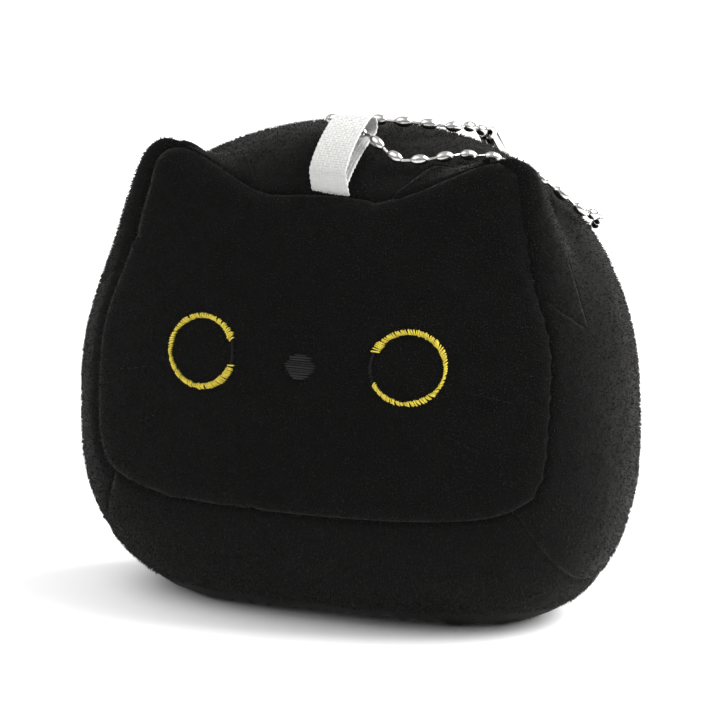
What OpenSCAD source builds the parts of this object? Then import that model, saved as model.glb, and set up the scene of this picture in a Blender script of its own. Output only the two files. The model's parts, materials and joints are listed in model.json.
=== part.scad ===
// Plush cat keychain: a stuffed, loaf-shaped cat sewn from short-pile plush, with an
// embroidered face, a woven hanging tape in its top seam and a bead chain through the tape.
// Front of the face is -Y, up is +Z. The origin is under the middle of the body, on its base.

/* [Body] */
// Overall width across the side panels
body_width = 108.6; // [100:0.2:112]
// Overall height of the body standing on its base
body_height = 90.6; // [88:0.2:94]
// Distance from the nose to the middle of the back
body_depth = 58; // [56:1:64]
// Thickness of the plush cloth with its pile
plush_thickness = 2; // [1.5:0.1:2.4]

/* [Face] */
// Height of the nose above the base
nose_height = 50.4; // [48:0.2:52]
// Half the width of the face panel
face_half_width = 45; // [43:0.5:46]
// Height of the top seam above the nose
face_rise = 30; // [28:0.5:31]
// Drop of the chin seam below the nose
face_drop = 26.4; // [24:0.2:28]
// How far the side edges of the face curve back behind the nose
face_sag = 10; // [8:0.5:12]
// Backward slope of the face above the nose, as travel in Y for each unit of height
face_slope = 0.32; // [0.26:0.01:0.36]
// Forward slope of the face from the nose down to the chin
chin_slope = 0.18; // [0.12:0.01:0.22]

/* [Embroidery] */
// Distance of each eye centre from the middle of the face
eye_offset = 19.5; // [18:0.5:21]
// Half the width of an eye ring
eye_half_width = 7; // [6:0.25:7.5]
// Half the height of an eye ring
eye_half_height = 6.2; // [5.5:0.1:6.6]
// Width of the satin stitch of an eye ring
stitch_width = 1.2; // [0.9:0.1:1.5]
// How far the stitches stand out of the plush
stitch_height = 0.5; // [0.3:0.1:0.8]

/* [Hanging tape] */
// Width of the woven tape
tape_width = 7.4; // [7:0.2:8]
// Thickness of the woven tape
tape_thickness = 0.5; // [0.4:0.05:0.6]

/* [Bead chain] */
// Largest diameter of one bead
bead_diameter = 2; // [1.8:0.05:2]
// Length of one oval bead
bead_length = 3.2; // [3:0.05:3.2]
// Distance from one bead centre to the next
bead_pitch = 4.7; // [4.6:0.05:4.8]
// Diameter of the short links between the beads
link_diameter = 0.6; // [0.5:0.05:0.7]

/* [Hidden] */

// Colours
plush_black = [0.05, 0.048, 0.046];
thread_yellow = [0.82, 0.78, 0.16];
thread_black = [0.1, 0.1, 0.1];
tape_white = [0.92, 0.92, 0.9];
filling_white = [0.96, 0.96, 0.95];
nickel = [0.75, 0.75, 0.77];

// Body grid: face rings run from the nose to the seam, front rings from the seam to the widest
// outline, back rings from there to the middle of the back.
around = 80;
face_rings = 8;
front_rings = 9;
back_rings = 9;
seam_ring = face_rings;
wide_ring = face_rings + front_rings;
last_ring = face_rings + front_rings + back_rings;
ear_ring = seam_ring + 4;
back_seam_ring = wide_ring + 4;

// The body's middle plane, from front to back
chin_room = 2.54;
nose_y = -body_depth / 2 + chin_room / 2;
wide_y = 2;
top_back = 4.5;
back_y = body_depth / 2 + chin_room / 2;
base_sink = 5.3;
wide_z = 37.4;
centre = [0, 2, wide_z];
wide_top_power = 2.3;
wide_bottom_power = 3;
face_top_power = 2.05;
face_bottom_power = 7;
back_power = 2.43;
seam_turn = 16;
top_seam_turn = 42;

// Shape of the face in depth: its side edges come forward again towards the ears, and its
// top leans back a little more
side_level_height = 37;
side_level_share = 0.75;
top_lean = 3;

// The base is pressed flat: the surface stops this far below the floor plane and is cut there.
base_skim = 0.3;

// Ears: each is the corner between an outer and an inner edge line, measured from the nose
ear_outer_reach = 42.4;
ear_outer_turn = 11;
ear_inner_reach = 19.4;
ear_inner_turn = 119;
ear_roundness = 0.16;
ear_fillet = 0.8;
ear_start_turn = 18;
ear_clearance = 0.1;
ear_spread = 4;
ear_depth_share = 0.62;
ear_depth_power = 1.5;
ear_core_drop = 5;
ear_core_rings = 5;
ear_first = 4;
ear_last = 15;

// Layers inside the plush
cloth_gap = 0.1;
backing_thickness = 0.5;
backing_rings = 5;
layer_depth = plush_thickness + cloth_gap;
core_depth = layer_depth + backing_thickness + cloth_gap;

// Where the sides meet the bottom panel, as steps round the body from the right side
bottom_first = 47;
bottom_last = 73;

// Clearances of the loose pieces over the plush
tape_lift = 0.35;
tape_start = 1.05;
tape_fold = 1.57;
tape_turn = 6;
tape_offset = 1;
tape_steps = 12;
tape_opening_power = 0.3;
tail_start = 0.86;
tail_reach = 0.28;
tail_steps = 4;
fold_steps = 10;
pocket_height = bead_diameter + 1.3;
pocket_lift = tape_lift + tape_thickness + pocket_height / 2;
chain_lift = bead_diameter / 2 + 0.45;

// The chain's closed route over the plush, by hand: along and turn on the surface, then the
// height above it. It starts in the tape's fold, runs out behind the right ear, over the
// shoulder to the connector, and back up to a tight turn behind the fold.
chain_route = [
    [1.51, 86.5, pocket_lift],
    [1.44, 82, pocket_lift],
    [1.38, 77.5, chain_lift + 0.15],
    [1.34, 73.5, chain_lift],
    [1.37, 69, chain_lift],
    [1.46, 65.5, chain_lift],
    [1.6, 63, chain_lift],
    [1.73, 59.5, chain_lift],
    [1.8, 55, chain_lift],
    [1.86, 50, chain_lift],
    [1.93, 45.5, chain_lift],
    [2.04, 41.5, chain_lift],
    [2.21, 39.5, chain_lift],
    [2.37, 41.5, chain_lift],
    [2.47, 47.5, chain_lift],
    [2.47, 56, chain_lift],
    [2.38, 63, chain_lift],
    [2.22, 67, chain_lift],
    [2.05, 69.5, chain_lift],
    [1.92, 72, chain_lift],
    [1.83, 77, chain_lift],
    [1.78, 82.5, chain_lift],
    [1.77, 88, chain_lift],
    [1.73, 92.6, chain_lift + 0.1],
    [1.63, 93.8, pocket_lift],
    [1.54, 91.2, pocket_lift]
];
route_steps = 12;
route_probe = 0.4;
connector_knot = 16.7;
bead_ends = 0.35;
bead_steps = 8;
end_gap = 0.4;
link_gap = 0.14;
link_radius = link_diameter / 2;

// Beads are counted from the rear strand's clipped end, round through the tape, to the
// connector's own bead. The chain folds at the beads where one part ends.
far_rear_last = 0;
middle_rear_last = 3;
near_last = 12;
middle_front_last = 16;

// Connector sleeve
sleeve_play = 0.3;
sleeve_wall = 0.4;
sleeve_inner = bead_diameter / 2 + sleeve_play;
sleeve_outer = sleeve_inner + sleeve_wall;
sleeve_skirt = 0.9;
sleeve_slot = link_diameter + 1.1;
link_stop = sleeve_wall + 0.7;
sleeve_room = 2 * bead_length + end_gap + 2 * sleeve_play;

// Embroidery places, measured from the nose
eye_raise = 1;
eye_steps = 28;
eye_gap_turn = 48;
nose_half_width = 3;
nose_half_height = 2.2;
nose_steps = 16;
nose_end_share = 0.98;
whisker_radius = 0.25;
whisker_gap = 0.15;
upper_whisker = [[31, -3], [38, -4.6]];
lower_whisker = [[27, -10.5], [33, -13.5]];
closing_count = 9;
closing_step = 3;
closing_reach = 1.4;

function power_radius(turn, wide, high, power) =
    1 / pow(pow(abs(cos(turn)) / wide, power) + pow(abs(sin(turn)) / high, power), 1 / power);

// The face outline without its ears, as a distance from the nose
function plain_face(turn) = sin(turn) >= 0
    ? power_radius(turn, face_half_width, face_rise, face_top_power)
    : power_radius(turn, face_half_width, face_drop, face_bottom_power);

function edge_line(reach, turn) = reach / max(cos(turn), 0.2);
function soft_least(a, b, k) = -ln(exp(-k * a) + exp(-k * b)) / k;
function soft_most(a, b, k) = ln(exp(k * a) + exp(k * b)) / k;

function ear_reach(turn) = soft_least(
    edge_line(ear_outer_reach, turn - ear_outer_turn),
    edge_line(ear_inner_reach, turn - ear_inner_turn),
    ear_roundness
);

// How far an ear stands out of the face outline, for a turn from the right side
function ear_height(turn) =
    let (folded = turn > 90 ? 180 - turn : turn)
    folded <= 0 || turn > 180 ? 0
    : let (plain = plain_face(folded))
      max(0, soft_most(plain, ear_reach(folded), ear_fillet) - plain - ear_clearance)
      * min(1, folded / ear_start_turn);

// Depth of the face at a place across and above the nose
function face_y(x, up) =
    let (side = face_sag * pow(x / face_half_width, 2))
    let (raised = min(1, max(0, up) / side_level_height))
    let (lean = (up > 0 ? face_slope : chin_slope) * up + top_lean * pow(up / face_rise, 2))
    nose_y + lean + side * (1 - side_level_share * raised * raised);

function face_point(share, turn) =
    let (reach = plain_face(turn) * share + ear_height(turn) * pow(share, ear_spread))
    let (x = reach * cos(turn), up = reach * sin(turn))
    [x, face_y(x, up), nose_height + up];

// The crown is flatter than the sides: 1 in the middle of the top, 0 at the sides and below
function topness(turn) = pow(max(0, sin(turn)), 2);

function wide_point(turn) =
    let (reach = sin(turn) >= 0
        ? power_radius(turn, body_width / 2, body_height - wide_z, wide_top_power)
        : power_radius(turn, body_width / 2, wide_z + base_sink, wide_bottom_power))
    [reach * cos(turn), wide_y + top_back * topness(turn), wide_z + reach * sin(turn)];

// Front of the band: a part of an arc from the seam out to the widest outline
function front_point(share, turn) =
    let (seam = face_point(1, turn), wide = wide_point(turn))
    let (plain = plain_face(turn), x = plain * cos(turn), up = plain * sin(turn))
    let (start = seam_turn + (top_seam_turn - seam_turn) * topness(turn))
    let (arc = start + (90 - start) * share)
    let (outward = (sin(arc) - sin(start)) / (1 - sin(start)))
    let (backward = (cos(start) - cos(arc)) / cos(start))
    let (ear = ear_height(turn) * pow(max(0, 1 - pow(share / ear_depth_share, 2)), ear_depth_power))
    [
        x + (wide[0] - x) * outward + ear * cos(turn),
        seam[1] + (wide[1] - seam[1]) * backward,
        nose_height + up + (wide[2] - nose_height - up) * outward + ear * sin(turn)
    ];

function back_point(share, turn) =
    let (wide = wide_point(turn), fold = 90 * share)
    let (inward = pow(max(0, cos(fold)), 2 / back_power), backward = pow(sin(fold), 2 / back_power))
    [
        wide[0] * inward,
        wide[1] + (back_y - wide[1]) * backward,
        wide_z + (wide[2] - wide_z) * inward
    ];

// A point of the plush surface: along is 0 at the nose, 1 at the seam, 2 at the widest outline
// and 3 in the middle of the back.
function free_point(along, turn) =
    along <= 1 ? face_point(along, turn)
    : along <= 2 ? front_point(along - 1, turn)
    : back_point(along - 2, turn);

function pressed(p) = [p[0], p[1], max(p[2], -base_skim)];
function sunk(p, depth) = p - (p - centre) * depth / norm(p - centre);
function skin_point(along, turn, depth) =
    let (p = sunk(pressed(free_point(along, turn)), depth))
    depth > 0 ? [p[0], p[1], max(p[2], depth - base_skim)] : p;

function skin_normal(along, turn) =
    let (step_along = skin_point(along + 0.01, turn, 0) - skin_point(along - 0.01, turn, 0))
    let (step_round = skin_point(along, turn + 1, 0) - skin_point(along, turn - 1, 0))
    let (n = cross(step_along, step_round))
    n / norm(n);

back_end = 2.9999;
function ring_along(i) =
    i <= seam_ring ? i / face_rings
    : i <= wide_ring ? 1 + (i - seam_ring) / front_rings
    : 2 + (i - wide_ring) / back_rings;

function layer_points(depth) = [
    for (i = [0 : last_ring], j = [0 : around - 1])
    skin_point(min(ring_along(i), back_end), j * 360 / around, depth)
];

function spot(i, j, layer) = layer * (last_ring + 1) * around + i * around + (j + around) % around;

// Triangles of one grid cell, seen from outside or, for the inner layer, from inside
function cell_skin(i, j, layer) =
    let (a = spot(i, j, layer), b = spot(i, j + 1, layer))
    let (c = spot(i + 1, j + 1, layer), d = spot(i + 1, j, layer))
    let (pole_a = spot(0, 0, layer), pole_d = spot(last_ring, 0, layer))
    let (tris = i == 0 ? [[pole_a, c, d]] : i == last_ring - 1 ? [[a, b, pole_d]] : [[a, b, c], [a, c, d]])
    layer == 0 ? tris : [for (t = tris) [t[2], t[1], t[0]]];

function wall(i, j, k, l) =
    let (a = spot(i, j, 0), b = spot(k, l, 0), c = spot(k, l, 1), d = spot(i, j, 1))
    [[b, a, d], [b, d, c]];

// A piece of cloth: every grid cell that inside(i, j) accepts, between two depths
module cloth(inside, outer_depth, inner_depth) {
    points = concat(layer_points(outer_depth), layer_points(inner_depth));
    cells = [for (i = [0 : last_ring - 1], j = [0 : around - 1]) if (inside(i, j)) [i, j]];
    faces = [
        for (c = cells) let (i = c[0], j = c[1]) each concat(
            cell_skin(i, j, 0),
            cell_skin(i, j, 1),
            i > 0 && !inside(i - 1, j) ? wall(i, j, i, j + 1) : [],
            i < last_ring - 1 && !inside(i + 1, j) ? wall(i + 1, j + 1, i + 1, j) : [],
            !inside(i, (j + around - 1) % around) ? wall(i + 1, j, i, j) : [],
            !inside(i, (j + 1) % around) ? wall(i, j + 1, i + 1, j + 1) : []
        )
    ];
    polyhedron(points, faces, convexity = 6);
}

function mirrored(j) = (around / 2 - 1 - j + around) % around;
function in_ear(i, j) = i >= seam_ring && i < ear_ring && j >= ear_first && j < ear_last;
function in_face(i, j) = i < seam_ring;
function in_back(i, j) = i >= back_seam_ring;
function in_bottom(i, j) = i >= seam_ring && i < back_seam_ring && j >= bottom_first && j < bottom_last;
function in_crown(i, j) = i >= seam_ring && i < back_seam_ring && !in_bottom(i, j)
    && !in_ear(i, j) && !in_ear(i, mirrored(j));
function in_backing(i, j) = i < backing_rings;

module above_floor() {
    intersection() {
        children();
        translate([-body_width, -body_width, 0]) cube([2 * body_width, 2 * body_width, 2 * body_height]);
    }
}

// A thin slab between two layers of a grid of points: place(i, j, layer), where layer 0 is outside
module slab(rows, columns, place) {
    across = columns + 1;
    layer_size = (rows + 1) * across;
    points = [for (layer = [0, 1], i = [0 : rows], j = [0 : columns]) place(i, j, layer)];
    skins = [
        for (i = [0 : rows - 1], j = [0 : columns - 1])
        let (a = i * across + j, b = a + 1, d = a + across, c = d + 1)
        each [
            [a, b, c], [a, c, d],
            [c + layer_size, b + layer_size, a + layer_size],
            [d + layer_size, c + layer_size, a + layer_size]
        ]
    ];
    border = concat(
        [for (j = [0 : columns - 1]) [j, j + 1]],
        [for (i = [0 : rows - 1]) [i * across + columns, (i + 1) * across + columns]],
        [for (j = [0 : columns - 1]) [rows * across + j + 1, rows * across + j]],
        [for (i = [0 : rows - 1]) [(i + 1) * across, i * across]]
    );
    walls = [
        for (e = border)
        each [[e[1], e[0], e[0] + layer_size], [e[1], e[0] + layer_size, e[1] + layer_size]]
    ];
    polyhedron(points, concat(skins, walls), convexity = 4);
}

// Stitches that follow the face: out is how far a point stands in front of the plush
function on_face(x, up, out) = [x, face_y(x, up) - out, nose_height + up];

module satin_arc(middle, first_turn, last_turn, steps) {
    slab(steps, 1, function (i, j, layer)
        let (turn = first_turn + (last_turn - first_turn) * i / steps)
        let (widen = (j - 0.5) * stitch_width)
        on_face(
            middle + (eye_half_width + widen) * cos(turn),
            eye_raise + (eye_half_height + widen) * sin(turn),
            layer == 0 ? stitch_height : 0
        ));
}

module thread(from, to, radius) {
    along = to - from;
    translate(from)
        rotate([0, acos(along[2] / norm(along)), atan2(along[1], along[0])])
            cylinder(h = norm(along), r = radius, $fn = 16);
}

// Puts a shape that was drawn along +Z, with its top towards +Y, at a place on the chain
module on_chain(p, direction, top) {
    z = direction / norm(direction);
    x = cross(top, z) / norm(cross(top, z));
    y = cross(z, x);
    multmatrix([
        [x[0], y[0], z[0], p[0]],
        [x[1], y[1], z[1], p[1]],
        [x[2], y[2], z[2], p[2]],
        [0, 0, 0, 1]
    ]) children();
}

// The chain's route as a smooth closed curve through its knots
knots = len(chain_route);
function knot(k) = chain_route[(k + knots) % knots];
function curved(a, b, c, d, t) =
    0.5 * (2 * b + (c - a) * t + (2 * a - 5 * b + 4 * c - d) * t * t + (3 * b - a - 3 * c + d) * t * t * t);
function route_knot(u) =
    let (k = floor(u), t = u - k)
    curved(knot(k - 1), knot(k), knot(k + 1), knot(k + 2), t);
function route_point(u) =
    let (r = route_knot(u))
    skin_point(r[0], r[1], 0) + skin_normal(r[0], r[1]) * r[2];

route_us = [for (i = [0 : knots * route_steps]) i / route_steps];
route_points = [for (u = route_us) route_point(u)];
route_lengths = [
    for (i = 0, total = 0; i < len(route_points);
        total = total + (i + 1 < len(route_points) ? norm(route_points[i + 1] - route_points[i]) : 0),
        i = i + 1)
    total
];
route_length = route_lengths[len(route_lengths) - 1];
length_to_u = [for (i = [0 : len(route_us) - 1]) [route_lengths[i], route_us[i]]];
u_to_length = [for (i = [0 : len(route_us) - 1]) [route_us[i], route_lengths[i]]];
function wrapped(s) = s - route_length * floor(s / route_length);
function route_u(s) = lookup(wrapped(s), length_to_u);
function chain_point(s) = route_point(route_u(s));
function chain_direction(s) = chain_point(s + route_probe) - chain_point(s - route_probe);
function chain_top(s) = let (r = route_knot(route_u(s))) skin_normal(r[0], r[1]);

connector_place = lookup(connector_knot, u_to_length);
bead_step = bead_length + end_gap;
open_length = route_length - bead_step;
last_bead = round(open_length / bead_pitch);
pitch = open_length / last_bead;
function bead_place(k) = connector_place + bead_step / 2 + k * pitch;

module bead(s) {
    half = bead_length / 2;
    stretch = half / sqrt(1 - pow(2 * bead_ends / bead_diameter, 2));
    profile = [
        for (i = [0 : bead_steps])
        let (z = -half + bead_length * i / bead_steps)
        [bead_diameter / 2 * sqrt(1 - pow(z / stretch, 2)), z]
    ];
    on_chain(chain_point(s), chain_direction(s), chain_top(s))
        rotate_extrude($fn = 24)
            polygon(concat([[0, -half]], profile, [[0, half]]));
}

function bead_tip(s, side) =
    let (direction = chain_direction(s))
    chain_point(s) + direction / norm(direction) * side * (bead_length / 2 + link_gap);

module link(k) {
    thread(bead_tip(bead_place(k), 1), bead_tip(bead_place(k + 1), -1), link_radius);
}

module face_panel() {
    color(plush_black) cloth(function (i, j) in_face(i, j), 0, plush_thickness);
}

module ear_back_right() {
    color(plush_black) cloth(function (i, j) in_ear(i, j), 0, plush_thickness);
}

module ear_back_left() {
    color(plush_black) cloth(function (i, j) in_ear(i, mirrored(j)), 0, plush_thickness);
}

module crown_panel() {
    color(plush_black) cloth(function (i, j) in_crown(i, j), 0, plush_thickness);
}

module bottom_panel() {
    color(plush_black) above_floor() cloth(function (i, j) in_bottom(i, j), 0, plush_thickness);
}

module back_panel() {
    color(plush_black) above_floor() cloth(function (i, j) in_back(i, j), 0, plush_thickness);
}

// The filling stops short of the ear tips, where there is only a double layer of cloth
function core_depth_at(i, j) =
    let (turn = j * 360 / around, near = max(0, 1 - abs(i - seam_ring) / ear_core_rings))
    core_depth + min(1, ear_height(turn) / ear_core_drop) * ear_core_drop * near;

module stuffing_core() {
    points = [
        for (i = [0 : last_ring], j = [0 : around - 1])
        skin_point(min(ring_along(i), back_end), j * 360 / around, core_depth_at(i, j))
    ];
    faces = [for (i = [0 : last_ring - 1], j = [0 : around - 1]) each cell_skin(i, j, 0)];
    color(filling_white) polyhedron(points, faces, convexity = 4);
}

module embroidery_backing() {
    color(tape_white) cloth(function (i, j) in_backing(i, j), layer_depth, layer_depth + backing_thickness);
}

module right_eye_ring() {
    color(thread_yellow) satin_arc(eye_offset, eye_gap_turn / 2 - 180, 180 - eye_gap_turn / 2, eye_steps);
}

module left_eye_ring() {
    color(thread_yellow) satin_arc(-eye_offset, eye_gap_turn / 2, 360 - eye_gap_turn / 2, eye_steps);
}

module right_eye_corner() {
    edge = eye_gap_turn / 2 - 1;
    color(thread_black) satin_arc(eye_offset, 180 - edge, 180 + edge, 6);
}

module left_eye_corner() {
    edge = eye_gap_turn / 2 - 1;
    color(thread_black) satin_arc(-eye_offset, -edge, edge, 6);
}

module nose_embroidery() {
    color(thread_black)
        slab(nose_steps, 2, function (i, j, layer)
            let (x = nose_half_width * (2 * i / nose_steps - 1) * nose_end_share)
            let (up = (j - 1) * nose_half_height * sqrt(1 - pow(x / nose_half_width, 2)))
            on_face(x, up, layer == 0 ? stitch_height : 0));
}

module whiskers(side) {
    lift = whisker_radius + whisker_gap;
    function end(whisker, k) = on_face(side * whisker[k][0], whisker[k][1], lift);
    color(thread_black)
        for (whisker = [upper_whisker, lower_whisker])
            thread(end(whisker, 0), end(whisker, 1), whisker_radius);
}

module left_whiskers() {
    whiskers(-1);
}

module right_whiskers() {
    whiskers(1);
}

module closing_stitches() {
    seam = ring_along(back_seam_ring);
    color(thread_black)
        for (k = [0 : closing_count - 1]) {
            turn = 270 + (k - (closing_count - 1) / 2) * closing_step;
            middle = skin_point(seam, turn, 0);
            across = skin_point(seam + 0.02, turn, 0) - skin_point(seam - 0.02, turn, 0);
            lifted = middle + skin_normal(seam, turn) * (whisker_radius + whisker_gap);
            half = across / norm(across) * closing_reach / 2;
            thread(lifted - half, lifted + half, whisker_radius);
        }
}

module hang_tape_ends() {
    half_turn = atan(tape_width / 2 / face_rise);
    color(tape_white)
        slab(tail_steps, tail_steps, function (i, j, layer)
            skin_point(
                tail_start + tail_reach * i / tail_steps,
                90 + half_turn * (2 * j / tail_steps - 1),
                layer_depth + layer * backing_thickness
            ));
}

module hang_tape() {
    function share(i) = i / tape_steps;
    function along(i) = tape_start + (tape_fold - tape_start) * share(i);
    function opening(i) = pocket_height * pow(share(i), tape_opening_power);
    function side(i, lift) =
        let (p = skin_point(along(i), 90, 0) + skin_normal(along(i), 90) * lift)
        [p[1], p[2]];
    fold_middle = side(tape_steps, pocket_lift);
    fold_edge = side(tape_steps, pocket_lift - 1);
    fold_turn = atan2(fold_edge[1] - fold_middle[1], fold_edge[0] - fold_middle[0]);
    function fold(radius) = [
        for (i = [1 : fold_steps - 1])
        let (turn = fold_turn + 180 * i / fold_steps)
        fold_middle + radius * [cos(turn), sin(turn)]
    ];
    under = tape_lift + tape_thickness;
    outside = concat(
        [for (i = [0 : tape_steps]) side(i, tape_lift)],
        fold(pocket_height / 2 + tape_thickness),
        [for (i = [tape_steps : -1 : 0]) side(i, under + opening(i) + tape_thickness)]
    );
    inside = concat(
        [for (i = [1 : tape_steps]) side(i, under)],
        fold(pocket_height / 2),
        [for (i = [tape_steps : -1 : 1]) side(i, under + opening(i))]
    );
    seam = side(0, 0);
    color(tape_white)
        translate([tape_offset, seam[0], 0]) rotate([0, 0, -tape_turn]) translate([0, -seam[0], 0])
            rotate([90, 0, 90])
                linear_extrude(height = tape_width, center = true)
                    difference() {
                        polygon(outside);
                        polygon(inside);
                    }
}

module chain_beads(ranges) {
    color(nickel) for (r = ranges, k = [r[0] : r[1]]) bead(bead_place(k));
}

module chain_links(ranges) {
    color(nickel) for (r = ranges, k = [r[0] : r[1]]) link(k);
}

module near_chain_beads() {
    chain_beads([[middle_rear_last + 1, near_last]]);
}

module near_chain_links() {
    chain_links([[middle_rear_last + 1, near_last - 1]]);
}

module middle_chain_beads() {
    chain_beads([[far_rear_last + 1, middle_rear_last], [near_last + 1, middle_front_last]]);
}

module middle_chain_links() {
    chain_links([[far_rear_last + 1, middle_rear_last], [near_last, middle_front_last - 1]]);
}

module far_chain_beads() {
    chain_beads([[0, far_rear_last], [middle_front_last + 1, last_bead - 1]]);
}

module far_chain_links() {
    chain_links([[0, far_rear_last], [middle_front_last, last_bead - 2]]);
    color(nickel)
        thread(
            bead_tip(bead_place(last_bead - 1), 1),
            bead_tip(bead_place(last_bead), -1 - 2 * link_stop / bead_length),
            link_radius
        );
}

module sleeve_outline() {
    circle(r = sleeve_outer, $fn = 32);
    translate([-sleeve_outer, -sleeve_skirt]) square([2 * sleeve_outer, sleeve_skirt]);
}

module below_skirt() {
    translate([-2 * sleeve_outer, -3 * sleeve_outer - sleeve_skirt])
        square([4 * sleeve_outer, 3 * sleeve_outer]);
}

module sleeve_section(opening) {
    difference() {
        sleeve_outline();
        circle(r = opening, $fn = 32);
        translate([-opening, -2 * sleeve_outer]) square([2 * opening, 2 * sleeve_outer]);
        below_skirt();
    }
}

module chain_connector() {
    color(nickel)
        on_chain(chain_point(connector_place), chain_direction(connector_place), chain_top(connector_place)) {
            linear_extrude(height = sleeve_room, center = true) sleeve_section(sleeve_inner);
            for (side = [-1, 1])
                translate([0, 0, side * (sleeve_room + sleeve_wall) / 2])
                    linear_extrude(height = sleeve_wall, center = true)
                        sleeve_section(sleeve_slot / 2);
        }
}

module connector_bead() {
    color(nickel) bead(bead_place(last_bead));
}

face_panel();
ear_back_left();
ear_back_right();
crown_panel();
bottom_panel();
back_panel();
stuffing_core();
embroidery_backing();
left_eye_ring();
right_eye_ring();
left_eye_corner();
right_eye_corner();
nose_embroidery();
left_whiskers();
right_whiskers();
closing_stitches();
hang_tape_ends();
hang_tape();
near_chain_beads();
near_chain_links();
middle_chain_beads();
middle_chain_links();
far_chain_beads();
far_chain_links();
chain_connector();
connector_bead();
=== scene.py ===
"""Looks for the plush cat keychain: stuffed plush panels, embroidery, woven tape and bead chain."""

import json
import math

import bmesh
import bpy
import numpy as np
from mathutils import Matrix, Vector, noise
from mathutils.bvhtree import BVHTree
from mathutils.kdtree import KDTree


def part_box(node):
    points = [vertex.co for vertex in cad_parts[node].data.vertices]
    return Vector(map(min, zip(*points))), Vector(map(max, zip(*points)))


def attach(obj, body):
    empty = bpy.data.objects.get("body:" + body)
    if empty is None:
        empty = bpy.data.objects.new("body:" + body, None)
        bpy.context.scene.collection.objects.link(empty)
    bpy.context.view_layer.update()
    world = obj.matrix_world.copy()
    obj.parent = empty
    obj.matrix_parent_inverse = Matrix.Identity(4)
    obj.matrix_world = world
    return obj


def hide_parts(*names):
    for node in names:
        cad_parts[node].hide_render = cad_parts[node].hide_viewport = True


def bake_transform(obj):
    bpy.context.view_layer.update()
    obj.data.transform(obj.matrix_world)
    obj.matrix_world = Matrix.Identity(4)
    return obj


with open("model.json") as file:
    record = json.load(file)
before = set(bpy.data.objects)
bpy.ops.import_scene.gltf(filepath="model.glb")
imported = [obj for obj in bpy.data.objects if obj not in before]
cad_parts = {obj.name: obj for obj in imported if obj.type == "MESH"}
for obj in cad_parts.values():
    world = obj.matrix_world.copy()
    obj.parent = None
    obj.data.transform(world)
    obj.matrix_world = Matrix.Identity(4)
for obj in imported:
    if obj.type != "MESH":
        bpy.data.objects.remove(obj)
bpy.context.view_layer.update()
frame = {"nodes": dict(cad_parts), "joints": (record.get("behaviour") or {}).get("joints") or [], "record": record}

MM = 0.001
NODES = frame["nodes"]
PANELS = ["face_panel", "ear_back_left", "ear_back_right", "crown_panel", "bottom_panel", "back_panel"]

# Body cloth. Every point of a CAD panel's inside lies PANEL_DEPTH from a point of its outside,
# towards the body's centre, or on the flat at INSIDE_FLOOR.
BODY_CENTRE = Vector((0, 2, 37.4)) * MM
PANEL_DEPTH = 2.0 * MM
INSIDE_FLOOR = 1.7 * MM
NEAR = 0.04 * MM
BASE_REACH = 0.5 * MM
START_INSET = 0.5 * MM  # the shell starts this far inside the CAD surface and swells from there
MOST_SWELL = 1.2 * MM
SIMULATION_SCALE = 10
SIMULATION_FRAMES = 20
PRESSURE = 4
SEAM_REACH = 0.9 * MM
SEAM_DEPTH = 0.5 * MM
CLOTH_THICKNESS = 1.0 * MM

# Pile
PILE_LENGTH = 0.85 * MM
PILE_WIDTH = 0.16 * MM
PILE_PER_MM2 = 9
MOST_FIBRES = 49000
PILE_COMB = np.array([0.12, 0.0, -1.0])  # the way the pile lies

# Threads
THREAD_RADIUS = 0.15 * MM
STITCH_SPACING = 0.36 * MM
STITCH_RISE = 0.5 * MM
SURFACE_SINK = 0.15 * MM
RING_STROKE = 1.2 * MM
NOSE_ROWS = 11
STITCHES_PER_WHISKER = 4
NOSE_STRETCH = 1.15  # the outer stitches reach a little past the CAD oval

# Tape and chain
TAPE_THICKNESS = 0.5 * MM
TAPE_STEP = 0.11 * MM
TAPE_COLUMNS = 60
TAPE_TUCK = 2.2 * MM  # how far each end runs down into the seam
WARP_PITCH = 0.62 * MM
WEFT_PITCH = 0.5 * MM
LINK_RADIUS = 0.27 * MM
LINK_INTO_BEAD = 0.3 * MM


# ---------------------------------------------------------------- camera

def make_camera():
    """A long lens at the photograph's angle: from the cat's left front, a little above it."""
    azimuth, elevation, distance = math.radians(21.1), math.radians(12.7), 0.6
    toward = Vector((
        math.sin(azimuth) * math.cos(elevation),
        -math.cos(azimuth) * math.cos(elevation),
        math.sin(elevation),
    ))
    data = bpy.data.cameras.new("camera")
    data.lens = 161
    data.sensor_width = 36
    data.shift_x, data.shift_y = 0.0086, 0.0082
    camera = bpy.data.objects.new("camera", data)
    camera.location = Vector((0, 0, 45 * MM)) + toward * distance
    camera.rotation_mode = "QUATERNION"
    camera.rotation_quaternion = (-toward).to_track_quat("-Z", "Y")
    data.clip_start, data.clip_end = 0.01, 10
    bpy.context.scene.collection.objects.link(camera)
    bpy.context.scene.camera = camera


# ---------------------------------------------------------------- node helpers

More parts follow.
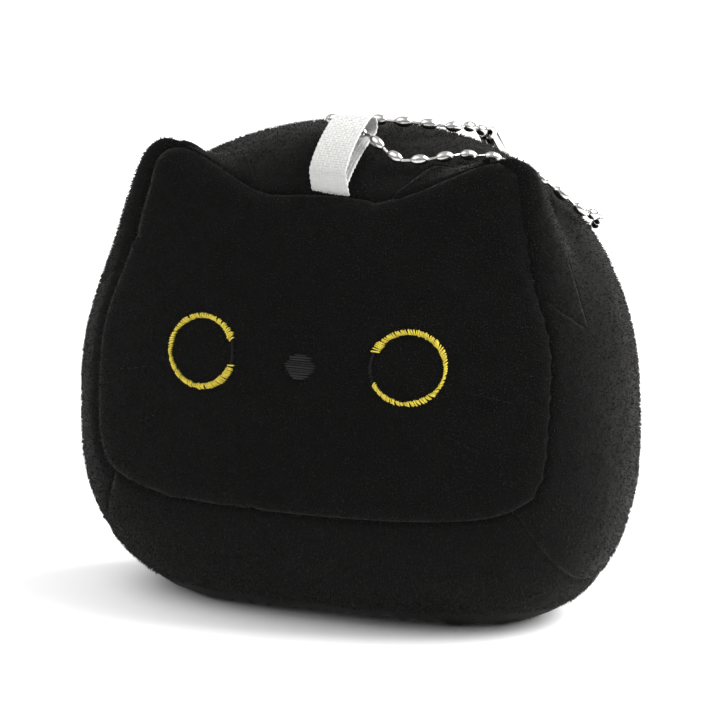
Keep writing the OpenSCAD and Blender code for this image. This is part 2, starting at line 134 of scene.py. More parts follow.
class Graph:
    """Short calls for building a material's node tree."""

    def __init__(self, name):
        self.material = bpy.data.materials.new(name)
        self.material.use_nodes = True
        self.nodes = self.material.node_tree.nodes
        self.links = self.material.node_tree.links
        self.shader = self.nodes["Principled BSDF"]

    def set(self, **values):
        for socket, value in values.items():
            self.shader.inputs[socket.replace("_", " ")].default_value = value
        return self

    def add(self, kind, **settings):
        node = self.nodes.new(kind)
        for key, value in settings.items():
            setattr(node, key, value)
        return node

    def join(self, source, target):
        self.links.new(source, target)

    def place(self, scale):
        """Object coordinates multiplied by scale, which is a number or three numbers."""
        where = self.add("ShaderNodeTexCoord")
        mapping = self.add("ShaderNodeMapping")
        mapping.inputs["Scale"].default_value = scale if isinstance(scale, tuple) else (scale,) * 3
        self.join(where.outputs["Object"], mapping.inputs["Vector"])
        return mapping.outputs["Vector"]

    def noise(self, scale, detail=3, roughness=0.6, distortion=0.0):
        texture = self.add("ShaderNodeTexNoise")
        texture.inputs["Scale"].default_value = 1
        texture.inputs["Detail"].default_value = detail
        texture.inputs["Roughness"].default_value = roughness
        texture.inputs["Distortion"].default_value = distortion
        self.join(self.place(scale), texture.inputs["Vector"])
        return texture.outputs["Fac"]

    def ramp(self, factor, stops):
        node = self.add("ShaderNodeValToRGB")
        elements = node.color_ramp.elements
        while len(elements) < len(stops):
            elements.new(0.5)
        for element, (position, colour) in zip(elements, stops):
            element.position = position
            element.color = (*colour, 1)
        self.join(factor, node.inputs["Fac"])
        return node.outputs["Color"]

    def mix(self, factor, a, b, blend="MIX"):
        node = self.add("ShaderNodeMix", data_type="RGBA", blend_type=blend)
        for value, socket in ((factor, node.inputs[0]), (a, node.inputs[6]), (b, node.inputs[7])):
            if hasattr(value, "is_linked"):
                self.join(value, socket)
            else:
                socket.default_value = value if isinstance(value, (int, float)) else (*value, 1)
        return node.outputs[2]

    def span(self, value, low, high):
        node = self.add("ShaderNodeMapRange")
        node.inputs["To Min"].default_value = low
        node.inputs["To Max"].default_value = high
        self.join(value, node.inputs["Value"])
        return node.outputs["Result"]

    def bump(self, height, distance, strength=1.0, below=None):
        node = self.add("ShaderNodeBump")
        node.inputs["Distance"].default_value = distance
        node.inputs["Strength"].default_value = strength
        self.join(height, node.inputs["Height"])
        if below is not None:
            self.join(below, node.inputs["Normal"])
        return node.outputs["Normal"]

    def finish(self, colour=None, roughness=None, normal=None):
        for source, socket in ((colour, "Base Color"), (roughness, "Roughness"), (normal, "Normal")):
            if source is not None:
                self.join(source, self.shader.inputs[socket])
        return self.material


# ---------------------------------------------------------------- materials

def plush_material(name, dark, light, sheen):
    """Short pile: near-black, patchy where it lies differently, with a soft sheen at grazing angles."""
    g = Graph(name).set(Sheen_Weight=sheen, Sheen_Roughness=0.38, Specular_IOR_Level=0.06)
    g.shader.inputs["Sheen Tint"].default_value = (0.8, 0.78, 0.76, 1)
    patches = g.noise(90.0, detail=4, roughness=0.55, distortion=0.4)
    fibres = g.noise((1900.0, 1900.0, 700.0), detail=3, roughness=0.7)
    colour = g.mix(patches, dark, light)
    colour = g.mix(g.span(fibres, 0.0, 0.8), colour, (0.0015, 0.0015, 0.0015))
    lay = g.bump(fibres, 0.25 * MM, 0.6)
    return g.finish(colour, g.span(patches, 0.78, 0.95), g.bump(patches, 0.5 * MM, 0.3, lay))


def thread_material(name, deep, bright, roughness, shine):
    """Rayon thread: tone that differs at random between deep and bright (uneven dye on the yellow and black
    threads; on the nose the lighter grey patches are painted glints), fine plies and a soft shine.
    """
    g = Graph(name).set(Sheen_Weight=shine / 3, Specular_IOR_Level=shine)
    tone = g.noise(900.0, detail=2)
    ply = g.noise((5200.0, 5200.0, 5200.0), detail=2)
    colour = g.mix(tone, deep, bright)
    colour = g.mix(g.span(ply, 0.0, 0.35), colour, deep)
    return g.finish(colour, g.span(ply, roughness, roughness + 0.25), g.bump(ply, 0.04 * MM, 0.5))


def tape_material():
    """White cotton yarn: slightly uneven, with fine darker flecks that are painted shade for the valleys of the
    weave.
    """
    g = Graph("tape_cotton").set(Sheen_Weight=0.35, Sheen_Roughness=0.5, Specular_IOR_Level=0.2)
    slub = g.noise(420.0, detail=3)
    fibre = g.noise((6500.0, 3500.0, 3500.0), detail=3, roughness=0.7)
    colour = g.mix(slub, (0.4, 0.4, 0.39), (0.52, 0.52, 0.51))
    # Fine flecks mixed towards dark grey: painted shade standing in for the valleys of the weave, not dust.
    colour = g.mix(g.span(fibre, 0.0, 0.55), colour, (0.22, 0.22, 0.21))
    return g.finish(colour, g.span(slub, 0.8, 0.95), g.bump(fibre, 0.05 * MM, 0.6))


def metal_material():
    """Polished nickel plate with fine rubbing marks and slightly dull spots."""
    g = Graph("nickel_plate").set(Metallic=1.0)
    rub = g.noise((2600.0, 9000.0, 2600.0), detail=3, roughness=0.7)
    spots = g.noise(1500.0, detail=4)
    colour = g.mix(spots, (0.3, 0.295, 0.285), (0.52, 0.51, 0.5))
    return g.finish(colour, g.span(spots, 0.08, 0.24), g.bump(rub, 0.01 * MM, 0.35))


def filling_material(name, low, high):
    g = Graph(name).set(Sheen_Weight=0.3)
    wool = g.noise(500.0, detail=6, roughness=0.7, distortion=1.0)
    return g.finish(g.mix(wool, low, high), g.span(wool, 0.85, 1.0), g.bump(wool, 0.6 * MM, 0.8))


def floor_material():
    g = Graph("pale_floor").set(Specular_IOR_Level=0.2)
    grain = g.noise(6.0, detail=3)
    return g.finish(g.mix(grain, (0.9, 0.9, 0.9), (0.93, 0.93, 0.93)), g.span(grain, 0.75, 0.85))


# ---------------------------------------------------------------- mesh helpers

def new_object(name, points, faces, material):
    mesh = bpy.data.meshes.new(name)
    mesh.from_pydata([tuple(p) for p in points], [], faces)
    mesh.validate()
    mesh.update()
    made = bpy.data.objects.new(name, mesh)
    bpy.context.scene.collection.objects.link(made)
    mesh.materials.append(material)
    mesh.shade_smooth()
    return made


def points_of(mesh):
    flat = np.empty(len(mesh.vertices) * 3, np.float32)
    mesh.vertices.foreach_get("co", flat)
    return flat.reshape(-1, 3).astype(float)


def set_points(mesh, points):
    mesh.vertices.foreach_set("co", np.asarray(points, np.float32).ravel())
    mesh.update()


def normals_of(mesh):
    flat = np.empty(len(mesh.vertices) * 3, np.float32)
    mesh.vertex_normals.foreach_get("vector", flat)
    return flat.reshape(-1, 3).astype(float)


def apply_modifiers(made):
    """Turns an object's modifiers into its mesh."""
    graph = bpy.context.evaluated_depsgraph_get()
    mesh = bpy.data.meshes.new_from_object(made.evaluated_get(graph))
    made.modifiers.clear()
    old = made.data
    made.data = mesh
    bpy.data.meshes.remove(old)


def loose_parts(node):
    """The vertices of each separate solid of a CAD node, as arrays."""
    work = bmesh.new()
    work.from_mesh(NODES[node].data)
    bmesh.ops.remove_doubles(work, verts=work.verts, dist=1e-7)
    left, found = set(work.verts), []
    while left:
        todo, part = [left.pop()], []
        while todo:
            v = todo.pop()
            part.append(tuple(v.co))
            for e in v.link_edges:
                other = e.other_vert(v)
                if other in left:
                    left.remove(other)
                    todo.append(other)
        found.append(np.array(part))
    work.free()
    return found


def long_axis(points):
    """(middle, unit direction, half length) of a slender solid."""
    _, _, axes = np.linalg.svd(points - points.mean(0))
    along = (points - points.mean(0)) @ axes[0]
    centre = points.mean(0) + axes[0] * (along.max() + along.min()) / 2
    return centre, axes[0], (along.max() - along.min()) / 2


class Tubes:
    """Collects swept tubes and turns them into one mesh."""

    def __init__(self, sides=6):
        self.sides, self.points, self.faces = sides, [], []

    def add(self, path, radii):
        path = np.asarray(path, float)
        tangents = np.gradient(path, axis=0)
        tangents /= np.maximum(np.linalg.norm(tangents, axis=1), 1e-12)[:, None]
        across = np.cross(tangents[0], (0.31, 0.17, 0.93))
        first = len(self.points)
        for p, t, r in zip(path, tangents, radii):
            across = across - t * (across @ t)
            across /= np.linalg.norm(across)
            other = np.cross(t, across)
            for k in range(self.sides):
                turn = 2 * math.pi * k / self.sides
                self.points.append(p + r * (math.cos(turn) * across + math.sin(turn) * other))
        n = self.sides
        for i in range(len(path) - 1):
            for k in range(n):
                a, b = first + i * n + k, first + i * n + (k + 1) % n
                self.faces.append((a, b, b + n, a + n))
        self.faces.append(tuple(first + k for k in reversed(range(n))))
        last = first + (len(path) - 1) * n
        self.faces.append(tuple(last + k for k in range(n)))

    def build(self, name, material):
        return new_object(name, self.points, self.faces, material)


# ---------------------------------------------------------------- stuffed body

def outside_faces(name):
    """The faces of a CAD panel's outer surface, as lists of points."""
    mesh = NODES[name].data
    points = points_of(mesh)
    tree = tree_of(points)
    centre = np.array(BODY_CENTRE)
    outward = points - centre
    outward /= np.linalg.norm(outward, axis=1)[:, None]
    reach = [tree.find(p)[2] for p in points + outward * PANEL_DEPTH]
    inner = (np.array(reach) < NEAR) | (np.abs(points[:, 2] - INSIDE_FLOOR) < NEAR)
    return [[points[v] for v in p.vertices] for p in mesh.polygons if not inner[list(p.vertices)].any()]


def outer_skin():
    """The outside of all the plush panels as one closed mesh; a face's material number is its panel."""
    work = bmesh.new()
    for number, name in enumerate(PANELS):
        for corners in outside_faces(name):
            work.faces.new([work.verts.new(p) for p in corners]).material_index = number
    bmesh.ops.remove_doubles(work, verts=work.verts, dist=NEAR)
    for number in range(len(PANELS)):
        own = [f for f in work.faces if f.material_index == number]
        bmesh.ops.join_triangles(
            work, faces=own, angle_face_threshold=math.pi, angle_shape_threshold=math.pi, cmp_materials=True
        )
    bmesh.ops.recalc_face_normals(work, faces=work.faces)
    mesh = bpy.data.meshes.new("skin")
    work.to_mesh(mesh)
    work.free()
    for name in PANELS:
        mesh.materials.append(bpy.data.materials.new("panel"))
    skin = bpy.data.objects.new("skin", mesh)
    bpy.context.scene.collection.objects.link(skin)
    return skin


def divide(made):
    """One smoothing subdivision, applied."""
    modifier = made.modifiers.new("divide", "SUBSURF")
    modifier.levels = modifier.render_levels = 1
    apply_modifiers(made)


def seam_points(skin):
    """Points along the seams, the edges between two panels. The ears meet the crown without a crease."""
    panels, found = {}, []
    smooth = {PANELS.index("ear_back_left"), PANELS.index("ear_back_right"), PANELS.index("crown_panel")}
    for polygon in skin.data.polygons:
        for key in polygon.edge_keys:
            panels.setdefault(key, set()).add(polygon.material_index)
    places = points_of(skin.data)
    for (a, b), numbers in panels.items():
        if len(numbers) > 1 and not numbers <= smooth:
            count = max(2, int(np.linalg.norm(places[b] - places[a]) / (0.4 * MM)))
            found += [places[a] + (places[b] - places[a]) * i / count for i in range(count + 1)]
    return np.array(found)


def tree_of(points):
    tree = KDTree(len(points))
    for i, p in enumerate(points):
        tree.insert(p, i)
    tree.balance()
    return tree


def seam_distance(points, tree):
    return np.array([tree.find(p)[2] for p in points])


def swell(skin, rest, tree):
    """Fills the shell with air as cloth, held along its seams, and caps how far it moves."""
    start = rest - normals_of(skin.data) * START_INSET
    set_points(skin.data, start * SIMULATION_SCALE)
    held = skin.vertex_groups.new(name="held")
    near = seam_distance(rest, tree)
    for i, d in enumerate(near):
        held.add([i], 1.0 if d < NEAR or rest[i][2] < BASE_REACH else 0.0, "REPLACE")
    cloth = skin.modifiers.new("cloth", "CLOTH")
    cloth.settings.use_pressure = True
    cloth.settings.uniform_pressure_force = PRESSURE
    cloth.settings.effector_weights.gravity = 0
    cloth.settings.vertex_group_mass = "held"
    cloth.settings.quality = 5
    cloth.settings.tension_stiffness = 12
    cloth.settings.compression_stiffness = 12
    cloth.settings.bending_stiffness = 1.5
    cloth.point_cache.frame_start, cloth.point_cache.frame_end = 1, SIMULATION_FRAMES
    scene = bpy.context.scene
    for step in range(1, SIMULATION_FRAMES + 1):
        scene.frame_set(step)
    apply_modifiers(skin)
    scene.frame_set(1)
    moved = points_of(skin.data) / SIMULATION_SCALE - start
    far = np.linalg.norm(moved, axis=1)
    share = MOST_SWELL * np.tanh(far / MOST_SWELL) / np.maximum(far, 1e-12)
    set_points(skin.data, start + moved * share[:, None])


def lumps(points, size, seed):
    """Smooth unevenness between about -1 and 1 at each point."""
    offset = Vector((seed * 3.7, seed * 1.3, seed * 5.1))
    return np.array([noise.noise(Vector(p) / size + offset) for p in points])


def stuffed_body():
    """The finished skin as one object: swollen between its seams, which are then pulled in."""
    skin = outer_skin()
    divide(skin)
    swell(skin, points_of(skin.data), tree_of(seam_points(skin)))
    tree = tree_of(seam_points(skin))
    divide(skin)
    points, normals = points_of(skin.data), normals_of(skin.data)
    near = seam_distance(points, tree)
    groove = SEAM_DEPTH * np.exp(-(near / SEAM_REACH) ** 2)
    soft = np.clip(near / (4 * MM), 0, 1)
    hand = (0.28 * lumps(points, 14 * MM, 1) + 0.12 * lumps(points, 5 * MM, 2)) * MM * (0.4 + 0.6 * soft)
    floor = points[:, 2] < 1.2 * MM
    hand[floor] *= 0.2
    points = points + normals * (hand - groove)[:, None]
    points[:, 2] = np.maximum(points[:, 2], 0.05 * MM)
    set_points(skin.data, points)
    return skin


def take_panel(skin, number, material):
    """The outside of one panel of the skin as its own object."""
    polygons = [p for p in skin.data.polygons if p.material_index == number]
    used = sorted({v for p in polygons for v in p.vertices})
    place = {v: i for i, v in enumerate(used)}
    faces = [tuple(place[v] for v in p.vertices) for p in polygons]
    return new_object("plush_" + PANELS[number], points_of(skin.data)[used], faces, material)


def thicken(piece):
    """Makes a panel a closed piece of cloth, inwards from its outside."""
    solid = piece.modifiers.new("cloth", "SOLIDIFY")
    solid.thickness = CLOTH_THICKNESS
    solid.offset = -1


def pile(piece, name, material, seed):
    """Short fibres that stand out of a panel, each a closed spike, combed down and outwards."""
    rng = np.random.default_rng(seed)
    mesh = piece.data
    mesh.calc_loop_triangles()
    corners = np.empty(len(mesh.loop_triangles) * 3, np.int32)
    mesh.loop_triangles.foreach_get("vertices", corners)
    corners = corners.reshape(-1, 3)
    points, normals = points_of(mesh), normals_of(mesh)
    a, b, c = (points[corners[:, k]] for k in range(3))
    area = np.linalg.norm(np.cross(b - a, c - a), axis=1) / 2
    count = min(int(area.sum() / MM**2 * PILE_PER_MM2), MOST_FIBRES)
    chosen = rng.choice(len(area), count, p=area / area.sum())
    u, v = rng.random(count), rng.random(count)
    over = u + v > 1
    u[over], v[over] = 1 - u[over], 1 - v[over]
    weights = np.stack([1 - u - v, u, v], 1)[:, :, None]
    root = (points[corners[chosen]] * weights).sum(1)
    normal = (normals[corners[chosen]] * weights).sum(1)
    normal /= np.linalg.norm(normal, axis=1)[:, None]
    down = PILE_COMB - normal * (normal @ PILE_COMB)[:, None]
    loose = rng.normal(size=(count, 3))
    lean = 0.55 * down + 0.38 * loose
    lean -= normal * (lean * normal).sum(1)[:, None]
    direction = normal + lean * 0.8
    direction /= np.linalg.norm(direction, axis=1)[:, None]
    length = PILE_LENGTH * rng.uniform(0.65, 1.15, count)
    low = root[:, 2] < 4 * MM
    length[low] = np.minimum(length[low], 0.3 * MM)
    side = np.cross(direction, rng.normal(size=(count, 3)))
    side /= np.linalg.norm(side, axis=1)[:, None]
    other = np.cross(direction, side)
    base = root - normal * SURFACE_SINK
    half = PILE_WIDTH / 2
    spikes = np.stack([
        base + side * half,
        base - side * half * 0.5 + other * half * 0.87,
        base - side * half * 0.5 - other * half * 0.87,
        base + direction * length[:, None],
    ], 1).reshape(-1, 3)
    spikes[:, 2] = np.maximum(spikes[:, 2], 0.02 * MM)
    first = np.arange(count)[:, None] * 4
    faces = np.stack([
        first + [0, 1, 3], first + [1, 2, 3], first + [2, 0, 3], first + [2, 1, 0]
    ], 1).reshape(-1, 3)
    made = bpy.data.meshes.new(name)
    made.vertices.add(len(spikes))
    made.vertices.foreach_set("co", spikes.astype(np.float32).ravel())
    made.loops.add(len(faces) * 3)
    made.loops.foreach_set("vertex_index", faces.astype(np.int32).ravel())
    made.polygons.add(len(faces))
    made.polygons.foreach_set("loop_start", np.arange(len(faces), dtype=np.int32) * 3)
    made.update(calc_edges=True)
    made.materials.append(material)
    made.shade_smooth()
    fur = bpy.data.objects.new(name, made)
    bpy.context.scene.collection.objects.link(fur)
    return fur


def make_plush():
    """Makes every plush panel with its pile, and returns a tree of the finished surface."""
    cloth = plush_material("plush_ground", (0.002, 0.002, 0.002), (0.005, 0.0048, 0.0045), 0.1)
    fibre = plush_material("plush_pile", (0.003, 0.0028, 0.0026), (0.009, 0.0086, 0.008), 0.16)
    skin = stuffed_body()
    surface = BVHTree.FromPolygons(
        [v.co.copy() for v in skin.data.vertices], [tuple(p.vertices) for p in skin.data.polygons]
    )
    for number, node in enumerate(PANELS):
        piece = take_panel(skin, number, cloth)
        fur = pile(piece, "pile_" + node, fibre, 100 + number)
        thicken(piece)
        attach(piece, "plush")
        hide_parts(node)
        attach(fur, "plush")
    bpy.data.objects.remove(skin)
    return surface


# ---------------------------------------------------------------- embroidery

def on_face(surface, x, z):
    """(point, normal) where a line from the front meets the finished face."""
    hit, normal, _, _ = surface.ray_cast(Vector((x, -0.2, z)), Vector((0, 1, 0)))
    return np.array(hit), np.array(normal)


def stitch(tubes, start, end, rise, radius, normal):
    """One thread that comes up at start, arches over the pile and goes down at end."""
    shares = (0, 0.14, 0.38, 0.62, 0.86, 1)
    heights = (-0.7, 0.75, 1.0, 1.0, 0.75, -0.7)
    path = [start + (end - start) * s + normal * rise * h for s, h in zip(shares, heights)]
    tubes.add(path, [radius * k for k in (0.7, 1, 1, 1, 1, 0.7)])


def satin_ring(surface, ring, name, material, turns, width_at, seed):
    """Satin stitches across the line of an eye ring, between the first and last turn in degrees."""
    rng = np.random.default_rng(seed)
    low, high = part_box(ring)
    middle = (low + high) / 2
    half_x, half_z = (high.x - low.x - RING_STROKE) / 2, (high.z - low.z - RING_STROKE) / 2
    tubes = Tubes(6)
    count = int(math.radians(abs(turns[1] - turns[0])) * (half_x + half_z) / 2 / STITCH_SPACING)
    for i in range(count):
        turn = math.radians(turns[0] + (turns[1] - turns[0]) * (i + 0.5) / count)
        wide = width_at(math.degrees(turn) % 360) * MM * rng.uniform(0.75, 1.25)
        slant = turn + rng.normal(0, 0.02) + 0.07
        ends = []
        for reach, angle in ((-wide / 2, turn), (wide / 2, slant)):
            x = middle.x + (half_x + reach) * math.cos(angle)
            z = middle.z + (half_z + reach) * math.sin(angle)
            ends.append(on_face(surface, x, z))
        (a, n), (b, _) = ends
        stitch(tubes, a, b, STITCH_RISE * rng.uniform(0.8, 1.15), THREAD_RADIUS * rng.uniform(0.9, 1.1), n)
    return tubes.build(name, material)


def finish_thread(made, node):
    """Fastens a mesh of threads to the plush, in place of its CAD node."""
    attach(made, "plush")
    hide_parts(node)


def bell(turn, centre, spread):
    """A smooth bump of height 1 at a turn, in degrees."""
    gap = (turn - centre + 180) % 360 - 180
    return math.exp(-(gap / spread) ** 2)


def left_width(turn):
    """Width in mm of the left ring's stroke, which is uneven as the machine left it."""
    ripple = 0.1 * math.sin(math.radians(3 * turn))
    wide = 0.88 + 0.45 * bell(turn, 318, 30) + 0.5 * bell(turn, 32, 12) + ripple
    wide -= 0.45 * bell(turn, 150, 14) + 0.5 * bell(turn, 190, 12) + 0.35 * bell(turn, 262, 4)
    return max(wide, 0.35)


def right_width(turn):
    """Width in mm of the right ring's stroke."""
    ripple = 0.1 * math.sin(math.radians(4 * turn))
    wide = 0.88 + 0.65 * bell(turn, 146, 14) + 0.25 * bell(turn, 60, 25) + ripple
    wide -= 0.35 * bell(turn, 350, 25) + 0.5 * bell(turn, 266, 4) + 0.15 * bell(turn, 205, 20)
    return max(wide, 0.35)


def corner_width(turn):
    """Width in mm of the black corner that closes a ring, the same at every turn."""
    return 0.5


def make_nose(surface, material):
    """Rows of loose satin stitches across the nose oval."""
    rng = np.random.default_rng(7)
    low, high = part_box("nose_embroidery")
    middle, half_x, half_z = (low + high) / 2, NOSE_STRETCH * (high.x - low.x) / 2, (high.z - low.z) / 2
    tubes = Tubes(6)
    for i in range(NOSE_ROWS):
        up = half_z * (2 * (i + 0.5) / NOSE_ROWS - 1)
        reach = half_x * math.sqrt(max(0.05, 1 - (up / half_z) ** 2)) * rng.uniform(0.8, 1.05)
        left, normal = on_face(surface, middle.x - reach, middle.z + up)
        right, _ = on_face(surface, middle.x + reach, middle.z + up + rng.normal(0, 0.06) * MM)
        stitch(tubes, left, right, STITCH_RISE * rng.uniform(0.3, 1.1), THREAD_RADIUS * 1.1, normal)
    finish_thread(tubes.build("nose_stitches", material), "nose_embroidery")


def make_whiskers(surface, node, material):
    """Running stitches along each whisker of a CAD node."""
    tubes = Tubes(6)
    for part in loose_parts(node):
        centre, along, half = long_axis(part)
        for k in range(STITCHES_PER_WHISKER):
            a = centre + along * half * (2 * k / STITCHES_PER_WHISKER - 1 + 0.04)
            b = centre + along * half * (2 * (k + 1) / STITCHES_PER_WHISKER - 1 - 0.04)
            (start, normal), (end, _) = on_face(surface, a[0], a[2]), on_face(surface, b[0], b[2])
            stitch(tubes, start, end, STITCH_RISE * 0.7, THREAD_RADIUS * 0.6, normal)
    made = tubes.build(node.replace("whiskers", "whisker_stitches"), material)
    finish_thread(made, node)


def make_closing_stitches(surface, material):
    """Ladder stitches that pull the closing seam together at the lower back."""
    tubes = Tubes(6)
    for part in loose_parts("closing_stitches"):
        centre, along, half = long_axis(part)
        ends = []
        for side in (-1, 1):
            p, normal, _, _ = surface.find_nearest(Vector(centre + along * half * side))
            ends.append((np.array(p), np.array(normal)))
        (a, n), (b, _) = ends
        stitch(tubes, a, b, STITCH_RISE * 0.9, THREAD_RADIUS, n)
    finish_thread(tubes.build("ladder_stitches", material), "closing_stitches")


def make_embroidery(surface):
    yellow = thread_material("yellow_rayon", (0.3, 0.19, 0.006), (0.7, 0.62, 0.03), 0.4, 0.4)
    black = thread_material("black_rayon", (0.0015, 0.0015, 0.0015), (0.005, 0.005, 0.0055), 0.45, 0.1)
    for node, ring, material, turns, width_at, slot in (
        ("left_eye_ring", "left_eye_ring", yellow, (22, 342), left_width, "yellow_thread"),
        ("right_eye_ring", "right_eye_ring", yellow, (-154, 154), right_width, "yellow_thread"),
        ("left_eye_corner", "left_eye_ring", black, (-17, 21), corner_width, "black_thread"),
        ("right_eye_corner", "right_eye_ring", black, (155, 205), corner_width, "black_thread"),
    ):
        made = satin_ring(surface, ring, node + "_stitches", material, turns, width_at, len(node) + turns[1])
        finish_thread(made, node)
    # The nose thread's lighter grey patches (its bright colour) are painted glints of light on the stitches.
    make_nose(surface, thread_material("nose_rayon", (0.002, 0.002, 0.002), (0.01, 0.01, 0.011), 0.4, 0.2))
    make_whiskers(surface, "left_whiskers", black)
    make_whiskers(surface, "right_whiskers", black)
    make_closing_stitches(surface, black)


# ---------------------------------------------------------------- hanging tape

def side_outline(node, unturn):
    """An extruded node's outer side outline as (y, z) points, and half its width, once unturned."""
    work = bmesh.new()
    work.from_mesh(NODES[node].data)
    work.transform(unturn)
    bmesh.ops.remove_doubles(work, verts=work.verts, dist=1e-7)
    far = max(v.co.x for v in work.verts)
    follow = {}
    for e in work.edges:
        if all(abs(v.co.x - far) < 2e-6 for v in e.verts):
            flat = [abs(f.normal.x) > 0.9 for f in e.link_faces]
            if any(flat) and not all(flat):
                for v in e.verts:
                    follow.setdefault(v, []).append(e.other_vert(v))
    loops, left = [], set(follow)
    while left:
        start = next(iter(left))
        loop, previous, here = [], None, start
        while here in left:
            left.remove(here)
            loop.append((here.co.y, here.co.z))
            onward = [v for v in follow[here] if v is not previous]
            previous, here = here, onward[0]
        loops.append(np.array(loop))
    work.free()
    return max(loops, key=lambda p: np.ptp(p[:, 0])), far


def resampled(path, step):
    """The same line with points about a step apart."""
    lengths = np.concatenate([[0], np.cumsum(np.linalg.norm(np.diff(path, axis=0), axis=1))])
    places = np.linspace(0, lengths[-1], int(lengths[-1] / step) + 1)
    return np.stack([np.interp(places, lengths, path[:, k]) for k in range(path.shape[1])], 1)


def unit_rows(rows):
    return rows / np.linalg.norm(rows, axis=1)[:, None]


def tape_path(loop):
    """The tape's middle line as (y, z) points, from its outline, with both ends tucked into the seam."""
    first = int(np.argmin(np.linalg.norm(loop, axis=1)))
    loop = np.roll(loop, -first, axis=0)
    if loop[1][0] < loop[-1][0]:
        loop = np.roll(loop[::-1], 1, axis=0)
    path = resampled(loop, TAPE_STEP)
    tangent = unit_rows(np.gradient(path, axis=0))
    inward = np.stack([-tangent[:, 1], tangent[:, 0]], 1)
    if (inward * (path.mean(0) - path)).sum() < 0:
        inward = -inward
    path = path + inward * TAPE_THICKNESS / 2
    into = np.array([0.35, -0.94])
    tucked = int(TAPE_TUCK / TAPE_STEP)
    lead = [path[0] + into * k * TAPE_STEP for k in range(tucked, 0, -1)]
    tail = [path[-1] + into * k * TAPE_STEP for k in range(1, tucked + 1)]
    path = resampled(np.array([*lead, *path, *tail]), TAPE_STEP)
    for _ in range(6):
        path[1:-1] = (path[:-2] + 2 * path[1:-1] + path[2:]) / 4
    return path, tucked


def weave_height(x, along, share):
    """Distance of the cloth's face from its middle: yarns that cross over and under in a twill."""
    column, row = math.floor(x / WARP_PITCH), math.floor(along / WEFT_PITCH)
    over = (column + row) % 3 != 0
    yarn = abs(math.sin(math.pi * x / WARP_PITCH)) if over else abs(math.sin(math.pi * along / WEFT_PITCH))
    return TAPE_THICKNESS / 2 * (0.4 + 0.6 * yarn) * (1 if abs(share) < 0.97 else 0.55)


def weave_points(path, normal, half, turned):
    """Both faces of the tape as a grid of points: face, then place along, then column across."""
    points = []
    for side in (1, -1):
        for i, (p, n) in enumerate(zip(path, normal)):
            along = i * TAPE_STEP
            edge = 1 + 0.018 * math.sin(2 * math.pi * along / (WEFT_PITCH * 2))
            for j in range(TAPE_COLUMNS + 1):
                share = 2 * j / TAPE_COLUMNS - 1
                x = share * half * edge
                offset = side * weave_height(x, along, share)
                points.append(turned @ Vector((x, p[0] + n[0] * offset, p[1] + n[1] * offset)))
    return points


def weave_faces(rows):
    """The faces that close the grid of weave_points into one solid."""
    across = TAPE_COLUMNS + 1
    layer, faces = rows * across, []

    def add(quad, flip):
        faces.append(quad[::-1] if flip else quad)

    for face in (0, 1):
        for i in range(rows - 1):
            for j in range(TAPE_COLUMNS):
                a = face * layer + i * across + j
                add((a, a + 1, a + 1 + across, a + across), face == 1)
    for i in range(rows - 1):
        for j in (0, TAPE_COLUMNS):
            a = i * across + j
            add((a, a + across, a + across + layer, a + layer), j > 0)
    for j in range(TAPE_COLUMNS):
        for i in (0, rows - 1):
            a = i * across + j
            add((a, a + 1, a + 1 + layer, a + layer), i == 0)
    return faces


def make_tape():
    """One woven tape: out of the seam, back over the crown, round the fold and into the seam again."""
    joint = next(j for j in frame["joints"] if j["name"] == "tape_lift")
    origin, axis = Vector(joint["pos_m"]), Vector(joint["axis"])
    turned = Matrix.Translation(origin) @ Matrix.Rotation(math.atan2(axis.y, axis.x), 4, "Z")
    loop, half = side_outline("hang_tape", turned.inverted())
    path, tucked = tape_path(loop)
    tangent = unit_rows(np.gradient(path, axis=0))
    normal = np.stack([-tangent[:, 1], tangent[:, 0]], 1)
    points = weave_points(path, normal, half, turned)
    made = new_object("woven_tape", points, weave_faces(len(path)), tape_material())
    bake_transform(made)
    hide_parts("hang_tape")


# ---------------------------------------------------------------- bead chain

def revolve(points, faces, centre, direction, profile, sides):
    """Adds a closed surface of revolution: profile is (distance along the axis, radius)."""
    z = np.array(direction)
    x = np.cross(z, (0.2, 0.3, 0.93))
    x /= np.linalg.norm(x)
    y = np.cross(z, x)
    first = len(points)
    for along, radius in profile:
        for k in range(sides):
            turn = 2 * math.pi * k / sides
            points.append(centre + z * along + radius * (math.cos(turn) * x + math.sin(turn) * y))
    for i in range(len(profile) - 1):
        for k in range(sides):
            a, b = first + i * sides + k, first + i * sides + (k + 1) % sides
            faces.append((a, b, b + sides, a + sides))
    faces.append(tuple(first + k for k in reversed(range(sides))))
    last = first + (len(profile) - 1) * sides
    faces.append(tuple(last + k for k in range(sides)))


def bead_profile(half, radius):
    """An oval bead with a small rolled lip round the hole at each end."""
    turns = [math.pi * k / 18 for k in range(2, 17)]
    body = [(-half * 0.97 * math.cos(t), radius * math.sin(t) ** 0.8) for t in turns]
    hole = radius * 0.34
    lip = ((-0.86, 0.75), (-0.99, 0.8), (-1, 1), (-0.985, 1.3))
    start = [(half * place, hole * width) for place, width in lip]
    end = [(-along, wide) for along, wide in reversed(start)]
    body = [p for p in body if p[1] > hole * 1.45]
    return start + body + end


def make_beads(node, material):
    """Ovals with rolled lips in place of a CAD node's plain beads."""
    points, faces = [], []
    for part in loose_parts(node):
        centre, along, half = long_axis(part)
        offsets = part - centre
        radius = np.linalg.norm(offsets - np.outer(offsets @ along, along), axis=1).max()
        revolve(points, faces, centre, along, bead_profile(half, radius), 28)
    name = node.replace("_beads", "_bead_row").replace("connector_bead", "clipped_bead")
    made = new_object(name, points, faces, material)
    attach(made, frame_body(node))
    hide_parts(node)


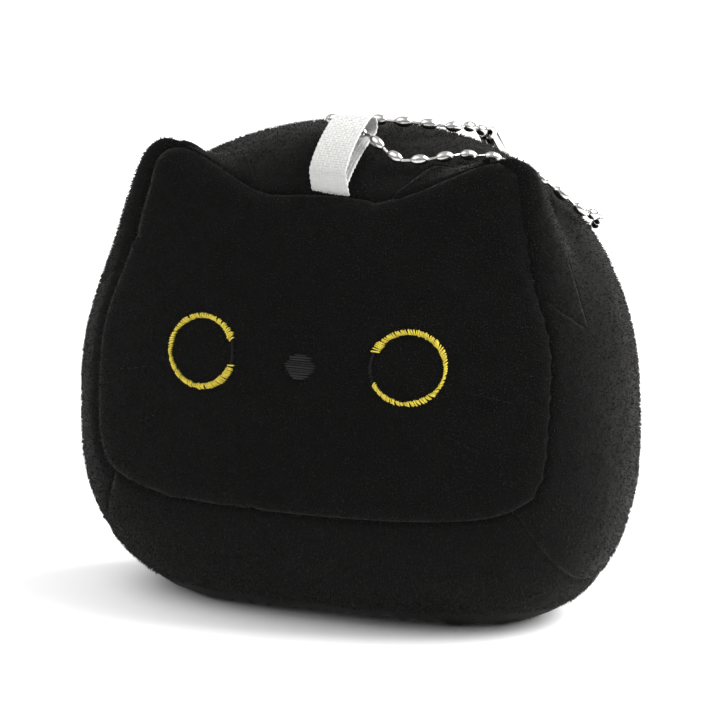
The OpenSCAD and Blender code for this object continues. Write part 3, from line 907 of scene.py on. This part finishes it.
def make_links(node, material):
    """Rods with rounded ends that run a little way into the beads they join."""
    points, faces = [], []
    shape = ((-1, 0.7), (-0.9, 1), (-0.5, 1.02), (0, 0.98), (0.5, 1.02), (0.9, 1), (1, 0.7))
    for part in loose_parts(node):
        centre, along, half = long_axis(part)
        reach = half + LINK_INTO_BEAD
        profile = [(reach * place, LINK_RADIUS * width) for place, width in shape]
        revolve(points, faces, centre, along, profile, 14)
    made = new_object(node + "_rods", points, faces, material)
    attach(made, frame_body(node))
    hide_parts(node)


def frame_body(node):
    """The name of the body a CAD node belongs to."""
    bodies = frame["record"]["behaviour"]["bodies"]
    return next(body for body, members in bodies.items() if node in members)


def make_connector(material):
    """The CAD sleeve's own shape with softened edges."""
    made = bpy.data.objects.new("connector_sleeve", NODES["chain_connector"].data.copy())
    bpy.context.scene.collection.objects.link(made)
    work = bmesh.new()
    work.from_mesh(made.data)
    bmesh.ops.remove_doubles(work, verts=work.verts, dist=1e-7)
    bmesh.ops.dissolve_limit(work, angle_limit=math.radians(2), verts=work.verts, edges=work.edges)
    work.to_mesh(made.data)
    work.free()
    made.data.materials.clear()
    made.data.materials.append(material)
    bevel = made.modifiers.new("edges", "BEVEL")
    bevel.width = 0.08 * MM
    bevel.segments = 3
    bevel.limit_method = "ANGLE"
    bevel.angle_limit = math.radians(40)
    made.data.shade_smooth()
    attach(made, "connector")
    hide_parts("chain_connector")


def make_chain():
    nickel = metal_material()
    for node in ("near_chain_beads", "middle_chain_beads", "far_chain_beads", "connector_bead"):
        make_beads(node, nickel)
    for node in ("near_chain_links", "middle_chain_links", "far_chain_links"):
        make_links(node, nickel)
    make_connector(nickel)


# ---------------------------------------------------------------- hidden pieces

def dress_hidden():
    """Materials for the pieces inside, which keep their CAD meshes."""
    fill = filling_material("polyester_fill", (0.82, 0.82, 0.8), (0.95, 0.95, 0.94))
    backing = filling_material("backing_felt", (0.74, 0.74, 0.72), (0.88, 0.88, 0.86))
    for node, material in (("stuffing_core", fill), ("embroidery_backing", backing),
                           ("hang_tape_ends", backing)):
        mesh = NODES[node].data
        mesh.materials.clear()
        mesh.materials.append(material)


# ---------------------------------------------------------------- studio

def make_studio():
    """A pale floor, a sky that brightens upwards, and two broad soft lights."""
    scene = bpy.context.scene
    reach = 3.0
    corners = [(-reach, -reach, 0), (reach, -reach, 0), (reach, reach, 0), (-reach, reach, 0)]
    new_object("floor", corners, [(0, 1, 2, 3)], floor_material())
    world = bpy.data.worlds.new("world")
    scene.world = world
    world.use_nodes = True
    nodes, links = world.node_tree.nodes, world.node_tree.links
    direction = nodes.new("ShaderNodeTexCoord")
    split = nodes.new("ShaderNodeSeparateXYZ")
    ramp = nodes.new("ShaderNodeValToRGB")
    links.new(direction.outputs["Generated"], split.inputs[0])
    links.new(split.outputs["Z"], ramp.inputs["Fac"])
    links.new(ramp.outputs["Color"], nodes["Background"].inputs["Color"])
    low, high = ramp.color_ramp.elements
    low.position, low.color = 0.05, (0.45, 0.45, 0.45, 1)
    high.position, high.color = 0.75, (1, 1, 1, 1)
    nodes["Background"].inputs["Strength"].default_value = 1.0
    for name, place, size, power in (
        ("key_light", (0.62, 0.3, 0.62), 0.9, 27),
        ("fill_light", (-0.5, -0.5, 0.9), 1.2, 8),
    ):
        data = bpy.data.lights.new(name, "AREA")
        data.size = size
        data.energy = power
        light = bpy.data.objects.new(name, data)
        light.location = place
        light.rotation_mode = "QUATERNION"
        light.rotation_quaternion = (Vector((0, 0, 45 * MM)) - Vector(place)).to_track_quat("-Z", "Y")
        scene.collection.objects.link(light)
    scene.view_settings.view_transform = "Standard"


make_camera()
finished_surface = make_plush()
make_embroidery(finished_surface)
make_tape()
make_chain()
dress_hidden()
make_studio()
